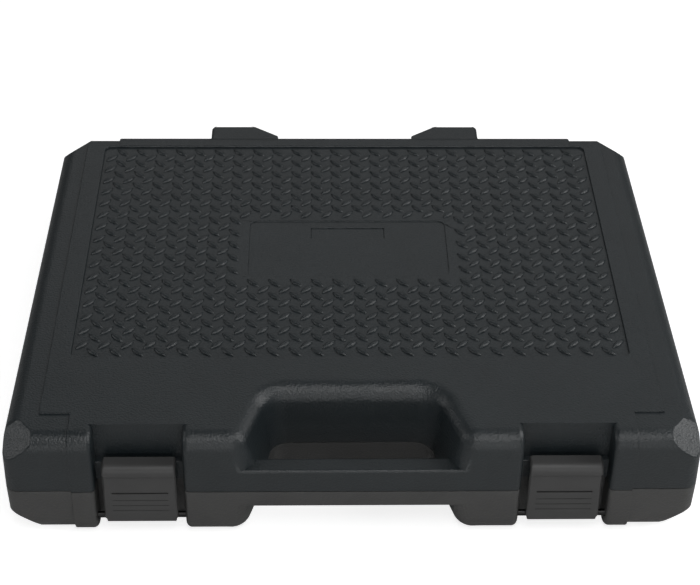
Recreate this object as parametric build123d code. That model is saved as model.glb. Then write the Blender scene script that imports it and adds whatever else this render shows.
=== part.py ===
"""Blow-moulded tool case: two shells, their inner trays, two clip latches and pinned hinges.

Millimetres. +Z is up, the handle faces -Y, and the origin is the middle of the underside.
"""
import os
from math import radians, tan

from build123d import *

# Whole case, closed and lying flat
case_width = 408.0
side_taper = 3.0
body_depth = 325.0
case_height = 76.0
base_height = 35.4
edge_radius = 11.0
corner_radius = 8.0
draft_angle = 1.0
overrun = 4.0

# Raised middle and the lower band round its sides and corners
band_step = 1.2
side_band = 21.0
front_band_depth = 25.0
back_band = 43.0
back_band_depth = 15.5

# Flat facets across the corners, as legs from the sharp corner
facet_leg_x = 29.0
facet_leg_y = 35.0
facet_leg_z = 21.0

# Shell walls and the rim between the halves
wall = 3.0
rim_gap = 0.3
rim_seat = 1.2
seat_clearance = 0.15

# Tread panel, plate and label tab on the lid, and the panel under the base
panel_side = 34.0
panel_front = 75.0
panel_back = 18.0
panel_drop = 1.5
panel_radius = 5.0
plate_width = 130.0
plate_depth = 61.0
plate_back = 89.0
plate_drop = 0.8
tab_width = 48.0
tab_depth = 11.0
tab_back = 7.0
tab_drop = 0.6
underside_drop = 1.2

# Tread on the lid's panel: low diamonds in every other place of a lattice of columns and rows
tread_columns = 24
tread_rows = 17
tread_side = 12.45
tread_end = 6.4
lug_length = 9.6
lug_width = 3.6
lug_height = 0.9
lug_turn = -45.0
lug_clearance = 3.5

# Hand grip: the scoop at the parting plane and at the outer faces, and the bar in front of it
scoop_low_front = 54.5
scoop_low_back = 48.0
scoop_high_front = 66.5
scoop_high_back = 51.5
scoop_depth_low = 42.0
scoop_depth_high = 44.5
scoop_radius_low = 13.0
scoop_radius_high = 16.0
scoop_front_extra = 1.0
bar_thickness = 12.0
bar_lid_height = 16.2
bar_base_height = 12.3
bar_radius = 2.0

# Latch niches and clip latches
latch_shift = 10.25
niche_width = 52.0
niche_pod = 14.0
niche_wall = 6.0
niche_radius = 3.5
latch_side_gap = 4.5
latch_top_drop = 22.0
latch_foot_rise = 9.0
latch_inset = 0.5
latch_plate = 4.0
latch_roof_depth = 10.5
latch_roof = 4.0
lip_height = 6.5
lip_proud = 1.5
lip_radius = 5.0
lip_under_radius = 1.0
catch_clearance = 0.3
catch_ledge = 3.7
latch_chamfer = 1.0
barrel_wall = 2.2
groove_margin = 5.0
groove_height = 1.2
groove_sink = 1.0
groove_drop = 20.5
ridge_count = 3
ridge_pitch = 4.0
ridge_drop = 26.0
ridge_sink = 0.25

# Steel pins
latch_pin_radius = 2.0
latch_pin_grip = 5.0
hinge_pin_radius = 2.0
press_clearance = 0.02
running_clearance = 0.06

# Hinges and rear feet
hinge_from_side = 76.0
knuckle_wall = 2.5
knuckle_length = 16.0
knuckle_gap = 0.5
foot_inner = 48.0
foot_slope = 16.5
foot_outer = 96.0
foot_spare = 2.5
foot_radius = 3.0
foot_from_face = 2.0
lid_stop_angle = 105.0

# Inner trays
tray_thickness = 2.2
tray_margin = 18.0
tray_clear = 5.0
base_floor_gap = 5.5
lid_roof_gap = 11.0
well_land = 8.0
well_radius = 9.0
well_row_shares = (0.20, 0.46, 0.34)
well_column_shares = ((1.0,), (0.58, 0.42), (0.30, 0.40, 0.30))

# Sizes that follow from those above
lid_height = case_height - base_height - rim_gap
back_width = case_width - 2 * side_taper
latch_offset = (scoop_high_front + case_width / 2) / 2 - latch_shift
hinge_offset = case_width / 2 - hinge_from_side
knuckle_radius = hinge_pin_radius + knuckle_wall
hinge_setback = knuckle_radius + knuckle_gap
foot_reach = hinge_setback + knuckle_radius + foot_spare
foot_from_parting = (foot_reach - hinge_setback) * tan(radians(lid_stop_angle / 2))
front = -(body_depth + foot_reach) / 2
back = front + body_depth
catch_depth = latch_inset + latch_roof_depth + catch_clearance
catch_drop = latch_top_drop + latch_roof + catch_clearance
niche_depth = catch_depth + catch_ledge
latch_width = niche_width - 2 * latch_side_gap
barrel_radius = latch_pin_radius + barrel_wall
latch_top = case_height - latch_top_drop
latch_axis_y = front + latch_inset + barrel_radius
latch_axis_z = latch_foot_rise + barrel_radius
plate_y = back - panel_back - plate_back - plate_depth / 2
tray_front = scoop_depth_high + wall + edge_radius / 2 + tray_thickness + tray_clear
sides = (-1, 1)


# Half shells are built with the parting plane at zero and their outer face upwards


def body_outline(side_inset, end_inset):
    """Plan of the case, a little wider at the front, drawn in at its sides and ends."""
    half_front = case_width / 2 - side_inset
    half_back = back_width / 2 - side_inset
    near = front + end_inset
    far = back - end_inset
    return make_face(
        Polyline(
            (-half_front, near),
            (half_front, near),
            (half_back, far),
            (-half_back, far),
            close=True,
        )
    )


def scoop_plan(half_front, half_back, depth):
    """Plan of the hand scoop, open to the front and with sharp corners at the back."""
    reach = front - overrun
    flare = (half_front - half_back) * overrun / depth
    half_reach = half_front + flare
    end = front + depth
    return make_face(
        Polyline(
            (-half_reach, reach),
            (-half_back, end),
            (half_back, end),
            (half_reach, reach),
            close=True,
        )
    )


def scoop_outline(half_front, half_back, depth, radius):
    """Plan of the hand scoop with round corners at the back."""
    plan = scoop_plan(half_front, half_back, depth)
    return fillet(plan.vertices().group_by(Axis.Y)[-1], radius)


def scoop_tool(height, grow):
    """Solid that the hand scoop takes out, from the parting plane to the outer face."""
    low = scoop_outline(
        scoop_low_front + grow,
        scoop_low_back + grow,
        scoop_depth_low + grow,
        scoop_radius_low + grow,
    )
    high = scoop_outline(
        scoop_high_front + grow,
        scoop_high_back + grow,
        scoop_depth_high + grow,
        scoop_radius_high + grow,
    )
    return loft([low, Pos(0, 0, height) * high], ruled=True)


def scoop_core(height):
    """Plain block behind the scoop's walls, which the space inside a half keeps clear of."""
    out = wall + edge_radius / 2
    low = scoop_plan(scoop_low_front + wall, scoop_low_back + wall, scoop_depth_low + wall)
    high = scoop_plan(scoop_high_front + out, scoop_high_back + out, scoop_depth_high + out)
    return loft([low, Pos(0, 0, height) * high], ruled=True)


def scooped_block(height, inset):
    """Half body with the scoop cut out and all its outer edges rounded."""
    block = extrude(body_outline(0, inset), height - inset, taper=draft_angle)
    block -= scoop_tool(height - inset, inset)
    ends = block.edges().filter_by(
        lambda edge: edge.bounding_box().size.Z > height / 2
        and abs(edge.center().X) < case_width / 4
        and edge.center().Y < front + scoop_depth_low / 2
    )
    block = fillet(ends, edge_radius + scoop_front_extra)
    rim = block.faces().sort_by(Axis.Z)[-1].outer_wire().edges()
    return fillet(rim, edge_radius)


def plateau(height):
    """Prism over the raised middle, narrower at the front and back than along the sides."""
    half = case_width / 2 - side_band
    half_front = latch_offset + niche_width / 2 + niche_pod
    half_back = case_width / 2 - back_band
    front_jog = front + front_band_depth
    back_jog = back - back_band_depth
    right = [
        (half_front, front - overrun),
        (half_front, front_jog),
        (half, front_jog),
        (half, back_jog),
        (half_back, back_jog),
        (half_back, back + overrun),
    ]
    left = [(-x, y) for x, y in reversed(right)]
    return extrude(make_face(Polyline(*right, *left, close=True)), height + overrun)


def handle_bar(height, bar_height):
    """Half of the carrying bar, flush with the front and round along its free edges."""
    block = extrude(body_outline(0, 0), height, taper=draft_angle)
    length = 2 * (scoop_high_front + edge_radius)
    slab = Pos(0, front) * Box(length, 2 * bar_thickness, 2 * bar_height)
    bar = block & slab
    free_edges = bar.edges().filter_by(Axis.X).group_by(Axis.Z)[-1]
    return fillet(free_edges, bar_radius)


def corner_facets(height, sink):
    """Cutters for the flat facets across the four corners, set in by a sink."""
    cutters = []
    size = 2 * (facet_leg_x + facet_leg_y + facet_leg_z)
    block = Box(size, size, size, align=(Align.CENTER, Align.CENTER, Align.MIN))
    for half_width, end, side_y in ((case_width / 2, front, -1), (back_width / 2, back, 1)):
        for side_x in sides:
            normal = Vector(side_x / facet_leg_x, side_y / facet_leg_y, 1 / facet_leg_z)
            normal = normal.normalized()
            edge_point = Vector(side_x * (half_width - facet_leg_x), end, height)
            cutters.append(Plane(origin=edge_point - normal * sink, z_dir=normal) * block)
    return cutters


def corner_edges(body, height):
    """Upright corner edges that are left under the facets."""
    return body.edges().filter_by(
        lambda edge: edge.bounding_box().size.Z > (height - facet_leg_z) / 2
        and edge.bounding_box().size.X < wall
        and edge.bounding_box().size.Y < wall
        and abs(edge.center().X) > back_width / 2 - 2 * wall
    )


def niche_box(side, depth, low, high, grow):
    """Block over one latch niche, from the front to a depth and between two heights."""
    block = Box(
        niche_width + 2 * grow,
        depth + grow + overrun,
        high - low,
        align=(Align.CENTER, Align.MIN, Align.MIN),
    )
    return Pos(side * latch_offset, front - overrun, low) * block


def cut_niches(body, height, catch_level):
    """Takes out the latch niches, deep above the catch level, and rounds their outer edges."""
    for side in sides:
        body -= niche_box(side, niche_depth, catch_level, height + overrun, 0)
        body -= niche_box(side, catch_depth, -overrun, catch_level, 0)
    deep = front + niche_depth - catch_ledge / 2
    edge_places = [latch_offset - niche_width / 2, latch_offset + niche_width / 2]
    outer_edges = body.edges().filter_by(
        lambda edge: edge.bounding_box().size.X < rim_gap
        and min(abs(abs(edge.center().X) - place) for place in edge_places) < rim_gap
        and edge.center().Y < deep
        and (edge.center().Z > catch_level + rim_gap or edge.center().Y < front + catch_depth / 2)
        and edge.center().Z > rim_gap
    )
    return fillet(outer_edges, niche_radius)


def cavity(height, roof):
    """Space inside a half shell, clear of the scoop, the niches and the facets by a wall."""
    space = extrude(body_outline(wall, band_step + wall), height - roof)
    rim = space.faces().sort_by(Axis.Z)[-1].edges()
    space = chamfer(rim, (edge_radius - wall) / 2)
    space -= scoop_core(height)
    for side in sides:
        space -= niche_box(side, niche_depth, -overrun, height, niche_wall)
    for cutter in corner_facets(height, wall):
        space -= cutter
    return chamfer(corner_edges(space, height), (corner_radius - wall) / 2)


def seat_outline(grow):
    """Plan of the tray's rim where it seats in a half shell, let out by a growth."""
    plan = body_outline(wall - grow, band_step + wall - grow)
    plan = fillet(plan.vertices(), corner_radius - wall + grow)
    out = wall - grow
    plan -= scoop_outline(
        scoop_low_front + out,
        scoop_low_back + out,
        scoop_depth_low + out,
        scoop_radius_low + out,
    )
    niche = Rectangle(
        niche_width + 2 * (niche_wall - grow),
        niche_depth + niche_wall - grow + overrun,
        align=(Align.CENTER, Align.MIN),
    )
    for side in sides:
        plan -= Pos(side * latch_offset, front - overrun) * niche
    return plan


def foot(height):
    """One pair of rear feet, sloped on the inner side and square on the outer side."""
    pair = Part()
    inside = back - wall - edge_radius
    end = back + foot_reach
    for side in sides:
        plan = make_face(
            Polyline(
                (side * foot_inner, inside),
                (side * foot_inner, back),
                (side * (foot_inner + foot_slope), end),
                (side * foot_outer, end),
                (side * foot_outer, inside),
                close=True,
            )
        )
        plan = fillet(plan.vertices().group_by(Axis.Y)[-1], foot_radius)
        block = extrude(plan, height - foot_from_face - foot_from_parting)
        block = Pos(0, 0, foot_from_parting) * block
        ends = block.faces().sort_by(Axis.Y)[-1].edges().filter_by(Axis.X)
        pair += chamfer(ends, foot_radius / 2)
    return pair


def knuckle(x_centre):
    """One hinge knuckle on its arm, with the pin hole left for later."""
    axis_y = back + hinge_setback
    barrel = Rot(0, 90, 0) * Cylinder(knuckle_radius, knuckle_length)
    arm = Box(
        knuckle_length,
        hinge_setback + wall,
        knuckle_radius - rim_gap / 2,
        align=(Align.CENTER, Align.MAX, Align.MIN),
    )
    return Pos(x_centre, axis_y, -rim_gap / 2) * barrel + Pos(x_centre, axis_y) * arm


def hinge_bore(side, radius):
    """Bore for one hinge pin, in the gap's middle plane behind the back wall."""
    length = 3 * knuckle_length + 2 * knuckle_gap + 2 * overrun
    bore = Rot(0, 90, 0) * Cylinder(radius, length)
    return Pos(side * hinge_offset, back + hinge_setback, -rim_gap / 2) * bore


def half_shell(height, roof, bar_height, catch_level, knuckle_steps, pin_clearance):
    """Outer shell of one half, with feet, knuckles and bar, open at the parting plane."""
    body = scooped_block(height, band_step) + (scooped_block(height, 0) & plateau(height))
    body += handle_bar(height, bar_height)
    for cutter in corner_facets(height, 0):
        body -= cutter
    body = fillet(corner_edges(body, height), corner_radius)
    body += foot(height)
    body = cut_niches(body, height, catch_level)
    body -= cavity(height, roof)
    body -= extrude(seat_outline(rim_seat), tray_thickness)
    pitch = knuckle_length + knuckle_gap
    for side in sides:
        for step in knuckle_steps:
            body += knuckle(side * hinge_offset + step * pitch)
        body -= hinge_bore(side, hinge_pin_radius + pin_clearance)
    return body


def sunk_panel(height, drop):
    """Cutter for the wide shallow panel in the outer face of a half."""
    width = case_width - 2 * panel_side
    depth = body_depth - panel_front - panel_back
    plan = Pos(0, front + panel_front + depth / 2) * RectangleRounded(width, depth, panel_radius)
    return Pos(0, 0, height - drop) * extrude(plan, drop + overrun)


def tread_lug():
    """One low diamond of the tread, with four flat sides."""
    corners = [
        (-lug_length / 2, 0, 0),
        (0, -lug_width / 2, 0),
        (lug_length / 2, 0, 0),
        (0, lug_width / 2, 0),
    ]
    peak = (0, 0, lug_height)
    faces = [make_face(Polyline(*corners, close=True))]
    for start, end in zip(corners, corners[1:] + corners[:1]):
        faces.append(make_face(Polyline(start, end, peak, close=True)))
    return Rot(0, 0, lug_turn) * Solid(Shell(faces))


def tread(level):
    """Lugs that stand on the lid's panel, clear of the plate."""
    lug = tread_lug()
    width = case_width - 2 * (panel_side + tread_side)
    depth = body_depth - panel_front - panel_back - 2 * tread_end
    lugs = []
    for row in range(tread_rows):
        y = front + panel_front + tread_end + depth * row / (tread_rows - 1)
        beyond = abs(y - plate_y) > plate_depth / 2 + lug_clearance
        for column in range(row % 2, tread_columns, 2):
            x = width * column / (tread_columns - 1) - width / 2
            if beyond or abs(x) > plate_width / 2 + lug_clearance:
                lugs.append(Pos(x, y, level) * lug)
    return lugs


def lid_shell():
    """Upper shell with the tread panel, the bare plate and its label tab sunk into its face."""
    roof = panel_drop + wall
    catch_level = lid_height - catch_drop
    body = half_shell(lid_height, roof, bar_lid_height, catch_level, (0,), running_clearance)
    body -= sunk_panel(lid_height, panel_drop) - tread(lid_height - panel_drop)
    plate = extrude(RectangleRounded(plate_width, plate_depth, panel_radius), overrun)
    body -= Pos(0, plate_y, lid_height - panel_drop - plate_drop) * plate
    tab_y = plate_y + plate_depth / 2 - tab_back - tab_depth / 2
    tab = extrude(Rectangle(tab_width, tab_depth), overrun)
    body -= Pos(0, tab_y, lid_height - panel_drop - plate_drop - tab_drop) * tab
    return Pos(0, 0, base_height + rim_gap) * body


def base_shell():
    """Lower shell, with a plain sunk panel underneath and bores for the latch pins."""
    roof = underside_drop + wall
    body = half_shell(base_height, roof, bar_base_height, 0, (-1, 1), press_clearance)
    body -= sunk_panel(base_height, underside_drop)
    body = Pos(0, 0, base_height) * mirror(body, about=Plane.XY)
    for side in sides:
        body -= latch_pin(side, press_clearance)
    return body


def well_plans():
    """Sizes and centres of the base wells, in rows from the back to the front."""
    width = back_width - 2 * tray_margin
    depth = body_depth - tray_margin - tray_front
    room = depth - well_land * (len(well_row_shares) - 1)
    plans = []
    y_edge = back - tray_margin
    for row_share, column_shares in zip(well_row_shares, well_column_shares):
        row_depth = room * row_share
        row_room = width - well_land * (len(column_shares) - 1)
        x_edge = -width / 2
        for column_share in column_shares:
            column_width = row_room * column_share
            centre = (x_edge + column_width / 2, y_edge - row_depth / 2)
            plans.append((column_width, row_depth, centre))
            x_edge += column_width + well_land
        y_edge -= row_depth + well_land
    return plans


def well_space(width, depth, centre, sink):
    """Inside of one well, with round corners."""
    return Pos(*centre) * extrude(RectangleRounded(width, depth, well_radius), sink)


def well_block(width, depth, centre, sink):
    """Outside of one well, a tray's thickness larger all round, with its corners cut off."""
    plan = Rectangle(width + 2 * tray_thickness, depth + 2 * tray_thickness)
    plan = chamfer(plan.vertices(), (well_radius + tray_thickness) / 2)
    return Pos(*centre) * extrude(plan, sink + tray_thickness)


def tray(plans, sink):
    """Thin tray with its rim at the parting plane and its wells sunk behind it."""
    body = extrude(seat_outline(rim_seat - seat_clearance), tray_thickness)
    for width, depth, centre in plans:
        body += well_block(width, depth, centre, sink)
    for width, depth, centre in plans:
        body -= well_space(width, depth, centre, sink)
    return body


def base_tool_tray():
    """Tray that lines the base, with wells for the tools."""
    sink = base_height - underside_drop - wall - base_floor_gap - tray_thickness
    return Pos(0, 0, base_height) * mirror(tray(well_plans(), sink), about=Plane.XY)


def lid_inner_panel():
    """Panel that lines the lid, with one wide well over the tools."""
    width = back_width - 2 * tray_margin
    depth = body_depth - tray_margin - tray_front
    centre = (0, back - tray_margin - depth / 2)
    sink = lid_height - panel_drop - wall - lid_roof_gap - tray_thickness
    return Pos(0, 0, base_height + rim_gap) * tray([(width, depth, centre)], sink)


def latch(side):
    """Clip latch: a lipped plate with a roof over the catch and a barrel round its pin."""
    face = front + latch_inset
    plate_face = face + lip_proud
    plate_back = plate_face + latch_plate - lip_proud
    lip_low = latch_top - lip_height
    plate_top = lip_low - lip_proud
    roof_end = face + latch_roof_depth
    profile = make_face(
        Polyline(
            (face, latch_top),
            (face, lip_low),
            (plate_face, plate_top),
            (face, latch_axis_z),
            (latch_axis_y, latch_axis_z),
            (plate_back, latch_axis_z + barrel_radius),
            (plate_back, latch_top - latch_roof),
            (roof_end, latch_top - latch_roof),
            (roof_end, latch_top),
            close=True,
        )
    )
    profile = fillet(profile.vertices().sort_by_distance((face, latch_top))[0], lip_radius)
    profile = fillet(profile.vertices().sort_by_distance((face, lip_low))[0], lip_under_radius)
    body = extrude(Plane.YZ * profile, latch_width / 2, both=True)
    edges = body.faces().filter_by(Axis.X).edges().filter_by(
        lambda edge: edge.center().Y < plate_face and edge.center().Z > latch_axis_z + barrel_radius
    )
    body = chamfer(edges, latch_chamfer)
    barrel = Rot(0, 90, 0) * Cylinder(barrel_radius, latch_width - 2 * latch_chamfer)
    body += Pos(0, latch_axis_y, latch_axis_z) * barrel
    grooves = [(groove_drop, groove_sink, groove_height)]
    for step in range(ridge_count):
        grooves.append((ridge_drop + step * ridge_pitch, ridge_sink, groove_height / 2))
    for drop, sink, height in grooves:
        lean_share = (drop - lip_height - lip_proud) / (plate_top - latch_axis_z)
        surface = plate_face - lip_proud * lean_share
        slot = Box(latch_width - 2 * groove_margin, 2 * sink, height)
        body -= Pos(0, surface, latch_top - drop) * slot
    body = Pos(side * latch_offset) * body
    return body - latch_pin(side, running_clearance)


def latch_pin(side, clearance):
    """Pin through one latch barrel, held in both walls of its niche."""
    length = niche_width + 2 * latch_pin_grip + 2 * clearance
    pin = Rot(0, 90, 0) * Cylinder(latch_pin_radius + clearance, length)
    return Pos(side * latch_offset, latch_axis_y, latch_axis_z) * pin


def hinge_pin(side):
    """Pin through the three knuckles of one hinge."""
    length = 3 * knuckle_length + 2 * knuckle_gap
    pin = Rot(0, 90, 0) * Cylinder(hinge_pin_radius, length)
    return Pos(side * hinge_offset, back + hinge_setback, base_height + rim_gap / 2) * pin


nodes = {
    "base_shell": base_shell(),
    "base_tool_tray": base_tool_tray(),
    "lid_shell": lid_shell(),
    "lid_inner_panel": lid_inner_panel(),
}
for side, name in zip(sides, ("left", "right")):
    nodes[f"latch_{name}"] = latch(side)
    nodes[f"latch_pin_{name}"] = latch_pin(side, 0)
    nodes[f"hinge_pin_{name}"] = hinge_pin(side)

os.makedirs("parts", exist_ok=True)
for name, solid in nodes.items():
    export_step(solid, f"parts/{name}.step")
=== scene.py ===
"""Blow-moulded tool case, closed and lying flat, dressed for a studio picture.

Metres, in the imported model's own frame: +Z up, the handle towards -Y.
"""
from math import radians

import bmesh
import bpy
from mathutils import Matrix, Vector


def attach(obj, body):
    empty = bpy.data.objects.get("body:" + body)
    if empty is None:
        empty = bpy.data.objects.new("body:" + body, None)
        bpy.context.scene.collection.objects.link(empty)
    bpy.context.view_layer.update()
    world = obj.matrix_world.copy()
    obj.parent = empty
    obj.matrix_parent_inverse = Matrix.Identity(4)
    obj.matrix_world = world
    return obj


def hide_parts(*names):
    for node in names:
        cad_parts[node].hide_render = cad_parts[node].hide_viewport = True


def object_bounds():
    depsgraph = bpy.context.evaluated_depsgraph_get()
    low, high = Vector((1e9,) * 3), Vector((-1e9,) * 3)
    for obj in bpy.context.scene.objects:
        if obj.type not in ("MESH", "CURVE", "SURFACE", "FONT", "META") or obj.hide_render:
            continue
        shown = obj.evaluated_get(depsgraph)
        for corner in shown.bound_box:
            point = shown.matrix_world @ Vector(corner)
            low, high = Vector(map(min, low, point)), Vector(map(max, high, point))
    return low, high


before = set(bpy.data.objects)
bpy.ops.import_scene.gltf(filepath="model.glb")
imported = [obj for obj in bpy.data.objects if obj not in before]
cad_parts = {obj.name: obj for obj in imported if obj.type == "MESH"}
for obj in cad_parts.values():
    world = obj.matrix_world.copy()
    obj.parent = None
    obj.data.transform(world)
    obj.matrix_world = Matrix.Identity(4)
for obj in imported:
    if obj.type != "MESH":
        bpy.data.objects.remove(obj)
cad_low, cad_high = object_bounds()


# Base shell
# The lower half of the case, blow-moulded from black polyethylene with a grained skin.
# The hinge and latch pins are pressed into it, and the mould leaves its edges slightly round.
# Painted light: the base is coloured lighter and warmer than the lid, though both are the same
# polyethylene, to stand in for light bounced up from the white floor.
BASE_COLOURS_PAINTED_FLOOR_LIGHT = ((0.048, 0.048, 0.047, 1.0), (0.065, 0.065, 0.063, 1.0))
SHELL_ROUGHNESS, SHELL_GLOSS = (0.36, 0.50), 0.8
GRAIN_PER_METRE, GRAIN_DEPTH, GRAIN_DETAIL = 800.0, 0.00038, 2.0
MOTTLE_PER_METRE, MOTTLE_DETAIL = 45.0, 6.0
MOTTLE_DARK_SHARE, MOTTLE_LIGHT_SHARE = 0.3, 0.75
MOULD_EDGE, EDGE_STEPS = 0.0007, 2
SHARP_ANGLE = radians(38.0)
MERGE_GAP = 0.000002
CRISP_MARGIN = 0.0001
TRAY_SHEET = 0.0022


def link(tree, source, output, target, socket):
    """Joins one node's output to another node's input."""
    tree.links.new(source.outputs[output], target.inputs[socket])


def moulded_plastic(name, colours, grain_per_metre, grain_depth, roughness, gloss):
    """Black plastic with a grain from the mould and a slight mottle in its colour."""
    material = bpy.data.materials.new(name)
    material.use_nodes = True
    tree = material.node_tree
    shader = tree.nodes["Principled BSDF"]
    shader.inputs["Specular IOR Level"].default_value = gloss
    place = tree.nodes.new("ShaderNodeTexCoord")

    mottle = tree.nodes.new("ShaderNodeTexNoise")
    mottle.inputs["Scale"].default_value = MOTTLE_PER_METRE
    mottle.inputs["Detail"].default_value = MOTTLE_DETAIL
    tint = tree.nodes.new("ShaderNodeValToRGB")
    tint.color_ramp.elements[0].position = MOTTLE_DARK_SHARE
    tint.color_ramp.elements[0].color = colours[0]
    tint.color_ramp.elements[1].position = MOTTLE_LIGHT_SHARE
    tint.color_ramp.elements[1].color = colours[1]
    link(tree, place, "Object", mottle, "Vector")
    link(tree, mottle, "Fac", tint, "Fac")
    link(tree, tint, "Color", shader, "Base Color")

    grain = tree.nodes.new("ShaderNodeTexNoise")
    grain.inputs["Scale"].default_value = grain_per_metre
    grain.inputs["Detail"].default_value = GRAIN_DETAIL
    relief = tree.nodes.new("ShaderNodeBump")
    relief.inputs["Distance"].default_value = grain_depth
    relief.inputs["Strength"].default_value = 1.0
    link(tree, place, "Object", grain, "Vector")
    link(tree, grain, "Fac", relief, "Height")
    link(tree, relief, "Normal", shader, "Normal")

    dullness = tree.nodes.new("ShaderNodeMapRange")
    dullness.inputs["To Min"].default_value = roughness[0]
    dullness.inputs["To Max"].default_value = roughness[1]
    link(tree, grain, "Fac", dullness, "Value")
    link(tree, dullness, "Result", shader, "Roughness")
    return material


def soft_edged(node, name, edge_width, kept_zones):
    """A merged copy of a CAD node, its outer edges rounded except in zones of height that are kept."""
    piece = bpy.data.objects.new(name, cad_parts[node].data.copy())
    bpy.context.scene.collection.objects.link(piece)
    bpy.ops.object.select_all(action="DESELECT")
    piece.select_set(True)
    bpy.context.view_layer.objects.active = piece
    bpy.ops.mesh.customdata_custom_splitnormals_clear()
    bpy.ops.object.mode_set(mode="EDIT")
    bpy.ops.mesh.select_mode(type="EDGE")
    bpy.ops.mesh.select_all(action="SELECT")
    bpy.ops.mesh.remove_doubles(threshold=MERGE_GAP)
    bpy.ops.mesh.select_all(action="DESELECT")
    bpy.ops.mesh.edges_select_sharp(sharpness=SHARP_ANGLE)
    sharp_edges = [edge for edge in bmesh.from_edit_mesh(piece.data).edges if edge.select]
    for edge in sharp_edges:
        heights = [vertex.co.z for vertex in edge.verts]
        kept = any(low < height < high for height in heights for low, high in kept_zones)
        edge.select_set(edge.is_convex and not kept)
    bpy.ops.mesh.bevel(offset=edge_width, segments=EDGE_STEPS, affect="EDGES", clamp_overlap=False)
    bpy.ops.object.mode_set(mode="OBJECT")
    bpy.ops.object.shade_smooth_by_angle(angle=SHARP_ANGLE)
    evened = piece.modifiers.new("even_shading", "WEIGHTED_NORMAL")
    evened.keep_sharp = True
    bpy.ops.object.modifier_apply(modifier=evened.name)
    return piece


def node_heights(node):
    """The height of every point of a CAD node."""
    return [vertex.co.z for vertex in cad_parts[node].data.vertices]


def crisp_zone(height):
    """A narrow zone of height, just under and over a step whose edges are kept."""
    return (height - CRISP_MARGIN, height + CRISP_MARGIN)


def finish_piece(piece, material, body):
    """Paints a piece and sets it on the body and the finish that it belongs to."""
    piece.data.materials.clear()
    piece.data.materials.append(material)
    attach(piece, body)


base_seat = max(node_heights("base_tool_tray")) - TRAY_SHEET
# The base's plastic carries that painted floor light in its lighter colour.
base_plastic_painted_floor_light = moulded_plastic(
    "base_grained_polyethylene_painted_floor_light",
    BASE_COLOURS_PAINTED_FLOOR_LIGHT,
    GRAIN_PER_METRE,
    GRAIN_DEPTH,
    SHELL_ROUGHNESS,
    SHELL_GLOSS,
)
base_skin = soft_edged("base_shell", "base_skin", MOULD_EDGE, [crisp_zone(base_seat)])
finish_piece(base_skin, base_plastic_painted_floor_light, "base")
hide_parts("base_shell")


# Base tray
# The inner skin of the base, a smoother black sheet formed with wells for the tools.
# Its rim drops into a step round the mouth of the shell.
TRAY_COLOURS = ((0.018, 0.019, 0.020, 1.0), (0.026, 0.027, 0.028, 1.0))
TRAY_GRAIN_PER_METRE, TRAY_GRAIN_DEPTH = 300.0, 0.00005
TRAY_ROUGHNESS, TRAY_GLOSS = (0.42, 0.55), 0.4


def paint_node(node, material):
    """Gives a CAD node its finish."""
    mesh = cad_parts[node].data
    mesh.materials.clear()
    mesh.materials.append(material)


tray_plastic = moulded_plastic(
    "smooth_tray_polyethylene",
    TRAY_COLOURS,
    TRAY_GRAIN_PER_METRE,
    TRAY_GRAIN_DEPTH,
    TRAY_ROUGHNESS,
    TRAY_GLOSS,
)
paint_node("base_tool_tray", tray_plastic)


# Hinge and latch pins
# Lengths of drawn steel wire, with fine lines along them from the drawing, coloured near black as
# painted shade so they read as the dark gaps they sit in.
# They are pressed into the base and run free in the lid's knuckles and the latches.
# Painted shade: the pins' colours are kept near black so they don't show in the shade of the gaps
# beside the latches.
PIN_DARK, PIN_BRIGHT = (0.025, 0.025, 0.025, 1.0), (0.045, 0.045, 0.045, 1.0)
PIN_ROUGHNESS = (0.25, 0.45)
PIN_LINES_PER_METRE = (30.0, 2500.0, 2500.0)
pin_steel_painted_shade = bpy.data.materials.new("steel_wire_painted_shade")
pin_steel_painted_shade.use_nodes = True
pin_tree = pin_steel_painted_shade.node_tree
pin_shader = pin_tree.nodes["Principled BSDF"]
pin_shader.inputs["Metallic"].default_value = 1.0
pin_place = pin_tree.nodes.new("ShaderNodeTexCoord")
pin_stretch = pin_tree.nodes.new("ShaderNodeMapping")
pin_stretch.inputs["Scale"].default_value = PIN_LINES_PER_METRE
pin_lines = pin_tree.nodes.new("ShaderNodeTexNoise")
pin_lines.inputs["Scale"].default_value = 1.0
pin_tint = pin_tree.nodes.new("ShaderNodeValToRGB")
pin_tint.color_ramp.elements[0].color = PIN_DARK
pin_tint.color_ramp.elements[1].color = PIN_BRIGHT
pin_dullness = pin_tree.nodes.new("ShaderNodeMapRange")
pin_dullness.inputs["To Min"].default_value = PIN_ROUGHNESS[0]
pin_dullness.inputs["To Max"].default_value = PIN_ROUGHNESS[1]
link(pin_tree, pin_place, "Object", pin_stretch, "Vector")
link(pin_tree, pin_stretch, "Vector", pin_lines, "Vector")
link(pin_tree, pin_lines, "Fac", pin_tint, "Fac")
link(pin_tree, pin_tint, "Color", pin_shader, "Base Color")
link(pin_tree, pin_lines, "Fac", pin_dullness, "Value")
link(pin_tree, pin_dullness, "Result", pin_shader, "Roughness")
for side in ("left", "right"):
    paint_node("hinge_pin_" + side, pin_steel_painted_shade)
    paint_node("latch_pin_" + side, pin_steel_painted_shade)


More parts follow.
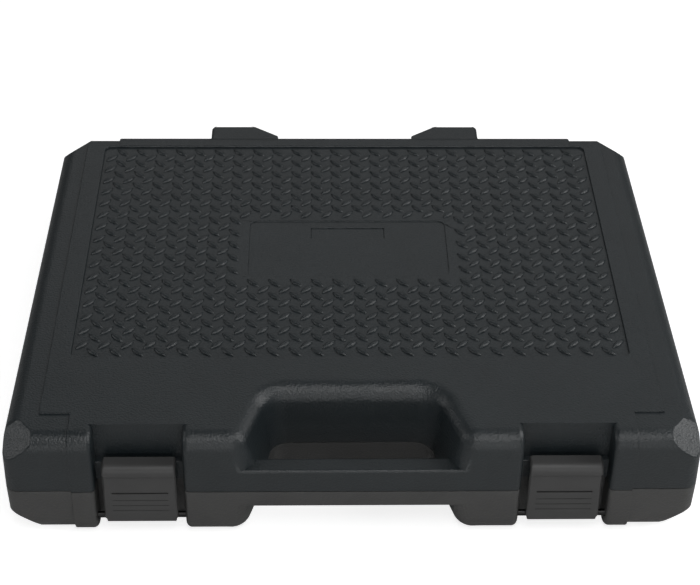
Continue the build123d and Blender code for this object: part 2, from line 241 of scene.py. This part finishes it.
# Lid shell
# The upper half, blow-moulded in the same black polyethylene, with a sunk panel on top.
# It swings on the hinge pins and carries the catches of the latches in its niches.
LID_COLOURS = ((0.0060, 0.0112, 0.0138, 1.0), (0.0088, 0.0150, 0.0182, 1.0))
PANEL_SINK = 0.0015
SOLID_LUG_HEIGHT = 0.0009
panel_level = cad_high[2] - PANEL_SINK
solid_lug_peak = panel_level + SOLID_LUG_HEIGHT
lid_seat = min(node_heights("lid_inner_panel")) + TRAY_SHEET
lid_plastic = moulded_plastic(
    "lid_grained_polyethylene",
    LID_COLOURS,
    GRAIN_PER_METRE,
    GRAIN_DEPTH,
    SHELL_ROUGHNESS,
    SHELL_GLOSS,
)
lid_crisp_zones = [crisp_zone(lid_seat), crisp_zone(solid_lug_peak)]
lid_skin = soft_edged("lid_shell", "lid_skin", MOULD_EDGE, lid_crisp_zones)
finish_piece(lid_skin, lid_plastic, "lid")
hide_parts("lid_shell")


# Tread lugs
# Low leaf-shaped bumps moulded with the lid's panel, in two crossed sets like chequer plate.
# They stop round the plate in the panel's middle, which is left plain.
LUG_LENGTH, LUG_WIDTH, LUG_HEIGHT = 0.0112, 0.0042, 0.00145
LUG_TIP_SHARE = 0.55
LUG_SEGMENTS, LUG_RINGS = 12, 8
LUG_TURN = radians(45.0)
TREAD_PITCH = 0.0137
TREAD_COLUMNS, TREAD_ROWS = 24, 17
PANEL_CENTRE_Y = 0.0225
PLATE_HALF_WIDTH, PLATE_HALF_DEPTH, PLATE_CENTRE_Y = 0.065, 0.0305, 0.019
LUG_CLEARANCE = 0.0035

bpy.ops.object.select_all(action="DESELECT")
bpy.ops.mesh.primitive_uv_sphere_add(segments=LUG_SEGMENTS, ring_count=LUG_RINGS, radius=0.5)
lug = bpy.context.object
lug.name = "lug"
bpy.ops.object.mode_set(mode="EDIT")
bpy.ops.mesh.select_all(action="SELECT")
bpy.ops.mesh.bisect(plane_co=(0.0, 0.0, 0.0), plane_no=(0.0, 0.0, 1.0), clear_inner=True)
bpy.ops.mesh.select_all(action="SELECT")
bpy.ops.transform.resize(
    value=(LUG_LENGTH, LUG_WIDTH, 2.0 * LUG_HEIGHT), center_override=(0.0, 0.0, 0.0)
)
bpy.ops.object.mode_set(mode="OBJECT")
for vertex in lug.data.vertices:
    run = abs(vertex.co.x) / (LUG_LENGTH / 2.0)
    vertex.co.y *= 1.0 - LUG_TIP_SHARE * run * run
bpy.ops.object.shade_smooth()


def lug_set(columns, rows, turn):
    """Places of one set of lugs round the panel's middle, clear of the plate."""
    for row in range(rows):
        for column in range(columns):
            x = (column - (columns - 1) / 2.0) * TREAD_PITCH
            y = PANEL_CENTRE_Y + (row - (rows - 1) / 2.0) * TREAD_PITCH
            beside = abs(x) > PLATE_HALF_WIDTH + LUG_CLEARANCE
            beyond = abs(y - PLATE_CENTRE_Y) > PLATE_HALF_DEPTH + LUG_CLEARANCE
            if beside or beyond:
                yield Matrix.Translation((x, y, panel_level)) @ Matrix.Rotation(turn, 4, "Z")


lugs = []
for places in (
    lug_set(TREAD_COLUMNS, TREAD_ROWS, -LUG_TURN),
    lug_set(TREAD_COLUMNS + 1, TREAD_ROWS - 1, LUG_TURN),
):
    for place in places:
        lug_copy = bpy.data.objects.new("lug_copy", lug.data.copy())
        lug_copy.data.transform(place)
        bpy.context.scene.collection.objects.link(lug_copy)
        lugs.append(lug_copy)
bpy.data.objects.remove(lug)
bpy.ops.object.select_all(action="DESELECT")
for lug_copy in lugs:
    lug_copy.select_set(True)
bpy.context.view_layer.objects.active = lugs[0]
bpy.ops.object.join()
tread = bpy.context.object
tread.name = "tread_lugs"
finish_piece(tread, lid_plastic, "lid")


# Lid inner panel
# The inner skin of the lid, formed from the same smooth sheet as the base tray.
# Its rim seats in a step round the lid's mouth.
paint_node("lid_inner_panel", tray_plastic)


# Latches
# Two clips of black acetal with a satin face, each on a pin at its foot.
# The rounded lip at the top is pulled out with a fingertip.
LATCH_COLOURS = ((0.064, 0.064, 0.064, 1.0), (0.074, 0.074, 0.074, 1.0))
LATCH_GRAIN_PER_METRE, LATCH_GRAIN_DEPTH = 1500.0, 0.00002
LATCH_ROUGHNESS, LATCH_GLOSS = (0.40, 0.50), 0.5
LATCH_EDGE = 0.0006
# Heights between which the ridges and the lip keep the edges that they are moulded with.
LATCH_RIDGES = (0.0190, 0.0345)
LATCH_LIP = (0.0459, 0.0480)
latch_plastic = moulded_plastic(
    "satin_acetal",
    LATCH_COLOURS,
    LATCH_GRAIN_PER_METRE,
    LATCH_GRAIN_DEPTH,
    LATCH_ROUGHNESS,
    LATCH_GLOSS,
)
for side in ("left", "right"):
    latch = soft_edged("latch_" + side, "latch_clip_" + side, LATCH_EDGE, [LATCH_RIDGES, LATCH_LIP])
    finish_piece(latch, latch_plastic, "latch_" + side)
    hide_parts("latch_" + side)


# Studio
# A white floor, a wide soft wall of light behind the case that its top reflects,
# boxes above and below the camera, and boxes at the sides that pick out the corners and rims.
FLOOR_SIZE = 6.0
PAPER_COLOUR = (0.65, 0.65, 0.65, 1.0)
PAPER_ROUGHNESS, PAPER_GLOSS = 0.9, 0.1
WHITE = (1.0, 1.0, 1.0, 1.0)
# The paper's glow and the air's full white are for the camera alone and don't light the case.
PAPER_GLOW = 0.80
AIR_LIGHT, AIR_SEEN = 0.06, 1.0
CASE_MIDDLE = Vector((0.0, 0.0, 0.05))

bpy.ops.object.select_all(action="DESELECT")
bpy.ops.mesh.primitive_plane_add(size=FLOOR_SIZE)
floor = bpy.context.object
floor.name = "studio_floor"
floor_paper = bpy.data.materials.new("white_paper")
floor_paper.use_nodes = True
paper = floor_paper.node_tree
paper_shader = paper.nodes["Principled BSDF"]
paper_shader.inputs["Base Color"].default_value = PAPER_COLOUR
paper_shader.inputs["Roughness"].default_value = PAPER_ROUGHNESS
paper_shader.inputs["Specular IOR Level"].default_value = PAPER_GLOSS
paper_shader.inputs["Emission Color"].default_value = WHITE
paper_seen = paper.nodes.new("ShaderNodeLightPath")
paper_lift = paper.nodes.new("ShaderNodeMath")
paper_lift.operation = "MULTIPLY"
paper_lift.inputs[1].default_value = PAPER_GLOW
link(paper, paper_seen, "Is Camera Ray", paper_lift, 0)
link(paper, paper_lift, "Value", paper_shader, "Emission Strength")
floor.data.materials.append(floor_paper)

world = bpy.data.worlds.new("studio_air")
world.use_nodes = True
air = world.node_tree
air.nodes["Background"].inputs["Color"].default_value = WHITE
air_seen = air.nodes.new("ShaderNodeLightPath")
air_strength = air.nodes.new("ShaderNodeMapRange")
air_strength.inputs["To Min"].default_value = AIR_LIGHT
air_strength.inputs["To Max"].default_value = AIR_SEEN
link(air, air_seen, "Is Camera Ray", air_strength, "Value")
link(air, air_strength, "Result", air.nodes["Background"], "Strength")
bpy.context.scene.world = world


def soft_lamp(name, place, size, power):
    """A soft box that faces the middle of the case."""
    lamp = bpy.data.lights.new(name, "AREA")
    lamp.shape = "RECTANGLE"
    lamp.size, lamp.size_y = size
    lamp.energy = power
    holder = bpy.data.objects.new(name, lamp)
    holder.location = place
    holder.rotation_mode = "QUATERNION"
    aim = CASE_MIDDLE - Vector(place)
    holder.rotation_quaternion = aim.to_track_quat("-Z", "Y")
    bpy.context.scene.collection.objects.link(holder)


soft_lamp("back_wall", place=(0.2, 1.7, 1.4), size=(2.8, 1.4), power=6.4)
soft_lamp("front_soft_box", place=(0.1, -0.8, 1.3), size=(0.8, 0.6), power=5.4)
soft_lamp("low_front_soft_box", place=(0.0, -1.6, 0.45), size=(1.8, 0.5), power=4.6)
soft_lamp("high_right_soft_box", place=(1.1, -0.1, 1.1), size=(0.6, 0.6), power=4.0)
soft_lamp("right_soft_box", place=(1.4, 0.0, 0.65), size=(0.7, 0.5), power=4.6)
soft_lamp("left_soft_box", place=(-1.4, 0.0, 0.65), size=(0.7, 0.5), power=2.6)


# Camera
# It stands in front of the handle and looks down on the lid through a long lens,
# where the lid's straight lines say that the picture was taken from.
CAMERA_PLACE = (-0.0240, -0.8914, 0.7513)
CAMERA_YAW, CAMERA_PITCH, CAMERA_ROLL = radians(-1.62), radians(38.1), radians(-0.91)
CAMERA_LENS_MM, CAMERA_SENSOR_MM = 88.57, 36.0
LEVEL_TURN = radians(90.0)
eye = bpy.data.cameras.new("picture_camera")
eye.lens = CAMERA_LENS_MM
eye.sensor_width = CAMERA_SENSOR_MM
camera = bpy.data.objects.new("picture_camera", eye)
aim = Matrix.Rotation(CAMERA_YAW, 4, "Z") @ Matrix.Rotation(-CAMERA_PITCH, 4, "X")
aim = aim @ Matrix.Rotation(CAMERA_ROLL, 4, "Y") @ Matrix.Rotation(LEVEL_TURN, 4, "X")
camera.matrix_world = Matrix.Translation(CAMERA_PLACE) @ aim
bpy.context.scene.collection.objects.link(camera)
bpy.context.scene.camera = camera
bpy.context.scene.view_settings.view_transform = "Standard"
